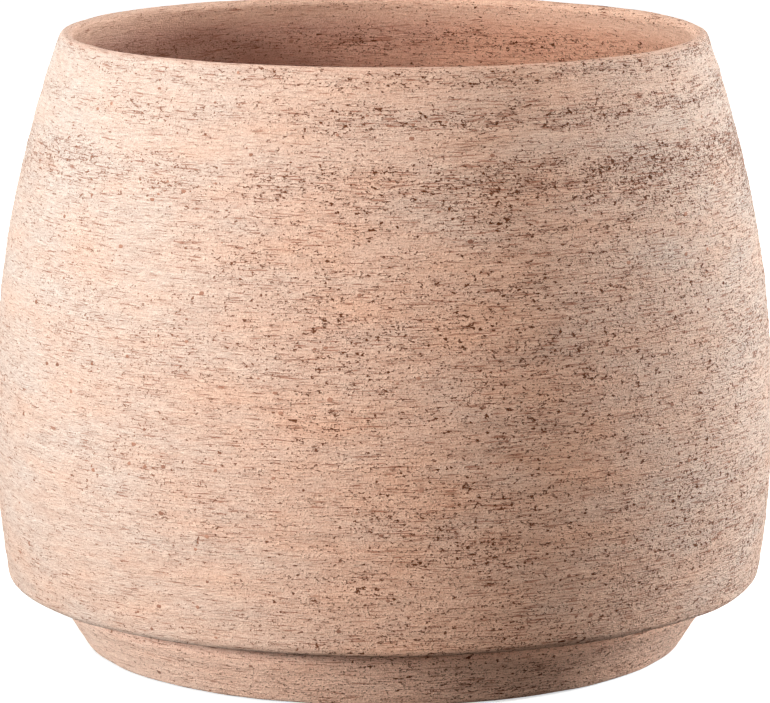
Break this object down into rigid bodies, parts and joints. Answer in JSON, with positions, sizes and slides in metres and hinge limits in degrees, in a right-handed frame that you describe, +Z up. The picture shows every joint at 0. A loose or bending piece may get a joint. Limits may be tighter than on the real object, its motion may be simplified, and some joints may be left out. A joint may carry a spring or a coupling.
{
  "type": "terracotta plant pot with saucer",
  "caption": "Belly-shaped round plant pot of raw unglazed terracotta with a rounded rim, an inset foot ring and a drain hole, standing in a low flared saucer that its belly overhangs.",
  "frame": {"origin": "centre of the saucer's base, on the ground", "axes": "+Z up along the axis of the pot and the saucer; +Y points through the first drain notch of the foot ring"},
  "size_m": [0.3, 0.3, 0.236],
  "materials": {
    "raw_terracotta": "dry matt unglazed clay, turned, with small pits, grog specks and a pale bloom"
  },
  "bodies": {
    "saucer": {"saucer": "raw_terracotta"},
    "pot": {"pot": "raw_terracotta"}
  },
  "joints": [
    {"name": "pot_lift", "type": "slide", "parent": "saucer", "child": "pot", "axis": [0, 0, 1], "range_m": [0, 0.15]}
  ]
}
